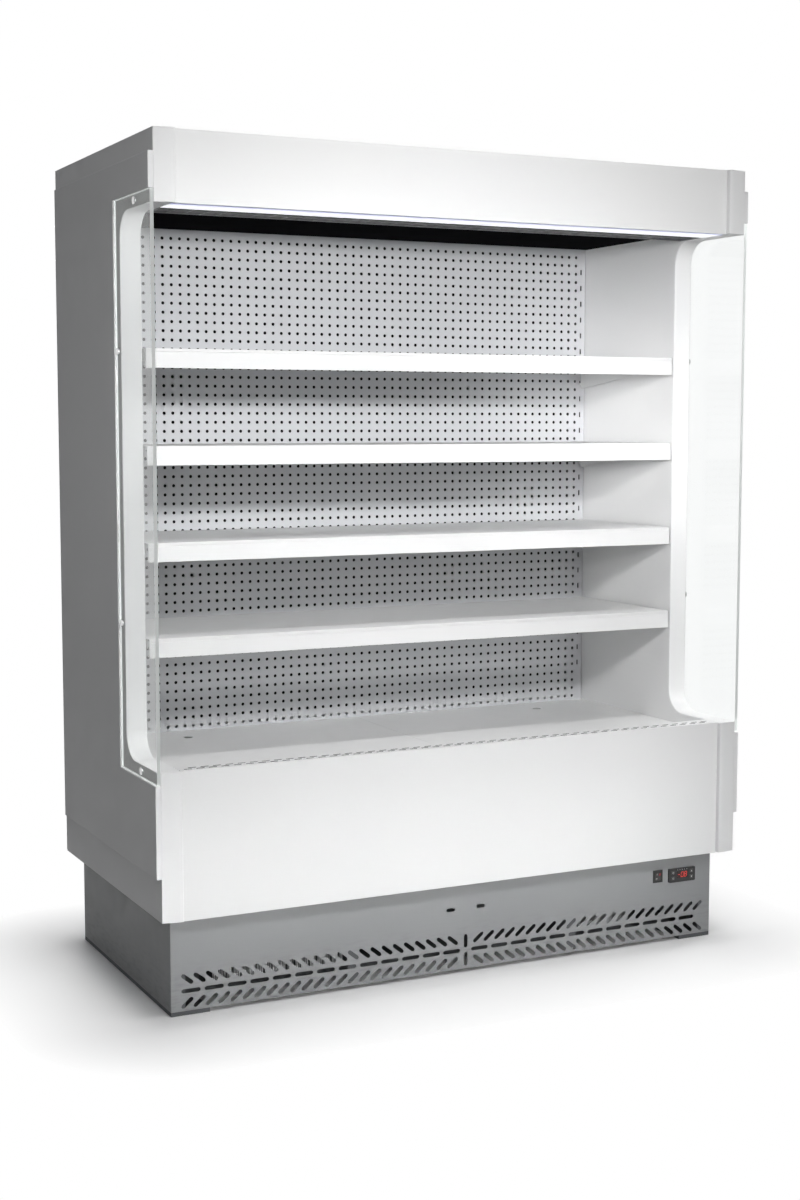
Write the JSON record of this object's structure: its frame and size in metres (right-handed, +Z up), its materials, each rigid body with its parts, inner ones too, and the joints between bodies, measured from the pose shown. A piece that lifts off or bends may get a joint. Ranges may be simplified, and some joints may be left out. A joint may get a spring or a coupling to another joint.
{
  "type": "multideck chiller",
  "caption": "Open-front multideck chiller: white cabinet with tilting shelves, glazed side windows, perforated air wall and a vented grey plinth holding the cooling plant.",
  "frame": {"origin": "on the floor under the middle of the overall box", "axes": "+Z up, +X to the right seen from the front, -Y towards the shopper"},
  "size_m": [1.594, 0.774, 1.988],
  "materials": {
    "white_steel": "satin white powder coat",
    "white_foam_panel": "satin white skin over foam",
    "side_skin": "satin white moulded skin",
    "clear_glass": "clear tempered pane with polished edges",
    "stud_steel": "turned stainless heads",
    "grey_steel": "grey powder coat",
    "zinc_steel": "galvanised sheet",
    "rail_plastic": "white extruded plastic",
    "opal_plastic": "opal diffuser",
    "outlet_plastic": "dark cellular plastic",
    "soffit_steel": "matt black powder coat",
    "coil_aluminium": "bare fins",
    "fan_plastic": "black moulded plastic",
    "motor_metal": "black enamel",
    "copper": "drawn copper",
    "rubber": "black rubber",
    "drain_plastic": "grey moulded plastic",
    "box_plastic": "light grey moulded plastic",
    "black_plastic": "fine-grained black plastic",
    "key_plastic": "black plastic caps",
    "window_plastic": "smoked display window"
  },
  "bodies": {
    "cabinet": {"air_outlet_grid": "outlet_plastic", "back_panel": "white_steel", "base_frame": "grey_steel", "canopy_fascia": "white_steel", "ceiling_panel": "soffit_steel", "compressor": "motor_metal", "compressor_mounts": "rubber", "condensate_tray": "zinc_steel", "condenser_coil": "coil_aluminium", "condenser_fan_motor": "motor_metal", "condenser_shroud": "zinc_steel", "controller_body": "black_plastic", "controller_window": "window_plastic", "drain_spout": "drain_plastic", "electrical_box": "box_plastic", "evaporator_coil": "coil_aluminium", "evaporator_fan_motors": "motor_metal", "fan_plate": "zinc_steel", "glass_studs": "stud_steel", "lamp_diffuser": "opal_plastic", "lamp_housing": "white_steel", "led_strip": "coil_aluminium", "lower_front_panel": "white_steel", "machine_tray": "zinc_steel", "plinth_grille": "grey_steel", "plinth_rear_panel": "grey_steel", "plinth_sides": "grey_steel", "rear_wall": "white_foam_panel", "refrigerant_lines": "copper", "return_air_grille": "white_steel", "roof_panel": "white_foam_panel", "shoulder_left": "white_foam_panel", "shoulder_right": "white_foam_panel", "side_cover_left": "side_skin", "side_cover_right": "side_skin", "side_glass_left": "clear_glass", "side_glass_right": "clear_glass", "switch_body": "black_plastic", "uprights": "white_steel", "well_floor": "white_foam_panel", "well_front": "white_foam_panel"},
    "deck_tray_left": {"deck_tray_left": "white_steel"},
    "deck_tray_right": {"deck_tray_right": "white_steel"},
    "condenser_fan": {"condenser_fan": "fan_plastic"},
    "rocker_switch": {"rocker_switch": "key_plastic"},
    "evaporator_fan_left": {"evaporator_fan_left": "fan_plastic"},
    "evaporator_fan_centre": {"evaporator_fan_centre": "fan_plastic"},
    "evaporator_fan_right": {"evaporator_fan_right": "fan_plastic"},
    "shelf_1": {"shelf_1": "white_steel", "price_rail_1": "rail_plastic"},
    "shelf_2": {"shelf_2": "white_steel", "price_rail_2": "rail_plastic"},
    "shelf_3": {"shelf_3": "white_steel", "price_rail_3": "rail_plastic"},
    "shelf_4": {"shelf_4": "white_steel", "price_rail_4": "rail_plastic"},
    "set_key": {"set_key": "key_plastic"},
    "power_key": {"power_key": "key_plastic"},
    "up_key": {"up_key": "key_plastic"},
    "down_key": {"down_key": "key_plastic"}
  },
  "joints": [
    {"name": "shelf_1_tilt", "type": "hinge", "parent": "cabinet", "child": "shelf_1", "pos_m": [0, 0.2875, 0.8303], "axis": [-1, 0, 0], "range_deg": [0, 12]},
    {"name": "shelf_2_tilt", "type": "hinge", "parent": "cabinet", "child": "shelf_2", "pos_m": [0, 0.2875, 1.0553], "axis": [-1, 0, 0], "range_deg": [0, 12]},
    {"name": "shelf_3_tilt", "type": "hinge", "parent": "cabinet", "child": "shelf_3", "pos_m": [0, 0.2875, 1.2803], "axis": [-1, 0, 0], "range_deg": [0, 12]},
    {"name": "shelf_4_tilt", "type": "hinge", "parent": "cabinet", "child": "shelf_4", "pos_m": [0, 0.2875, 1.5053], "axis": [-1, 0, 0], "range_deg": [0, 12]},
    {"name": "deck_tray_left_lift", "type": "slide", "parent": "cabinet", "child": "deck_tray_left", "axis": [0, 0, 1], "range_m": [0, 0.15]},
    {"name": "deck_tray_right_lift", "type": "slide", "parent": "cabinet", "child": "deck_tray_right", "axis": [0, 0, 1], "range_m": [0, 0.15]},
    {"name": "evaporator_fan_left_spin", "type": "hinge", "parent": "cabinet", "child": "evaporator_fan_left", "pos_m": [-0.44, -0.088, 0.405], "axis": [0, 1, 0], "continuous": true},
    {"name": "evaporator_fan_centre_spin", "type": "hinge", "parent": "cabinet", "child": "evaporator_fan_centre", "pos_m": [0, -0.088, 0.405], "axis": [0, 1, 0], "continuous": true},
    {"name": "evaporator_fan_right_spin", "type": "hinge", "parent": "cabinet", "child": "evaporator_fan_right", "pos_m": [0.44, -0.088, 0.405], "axis": [0, 1, 0], "continuous": true},
    {"name": "condenser_fan_spin", "type": "hinge", "parent": "cabinet", "child": "condenser_fan", "pos_m": [-0.44, -0.13275, 0.1], "axis": [0, 1, 0], "continuous": true},
    {"name": "rocker_tip", "type": "hinge", "parent": "cabinet", "child": "rocker_switch", "pos_m": [0.5845, -0.33, 0.177], "axis": [1, 0, 0], "range_deg": [-16, 0]},
    {"name": "set_key_press", "type": "slide", "parent": "cabinet", "child": "set_key", "axis": [0, 1, 0], "range_m": [0, 0.0008], "stiffness_N_per_m": 400},
    {"name": "power_key_press", "type": "slide", "parent": "cabinet", "child": "power_key", "axis": [0, 1, 0], "range_m": [0, 0.0008], "stiffness_N_per_m": 400},
    {"name": "up_key_press", "type": "slide", "parent": "cabinet", "child": "up_key", "axis": [0, 1, 0], "range_m": [0, 0.0008], "stiffness_N_per_m": 400},
    {"name": "down_key_press", "type": "slide", "parent": "cabinet", "child": "down_key", "axis": [0, 1, 0], "range_m": [0, 0.0008], "stiffness_N_per_m": 400}
  ]
}
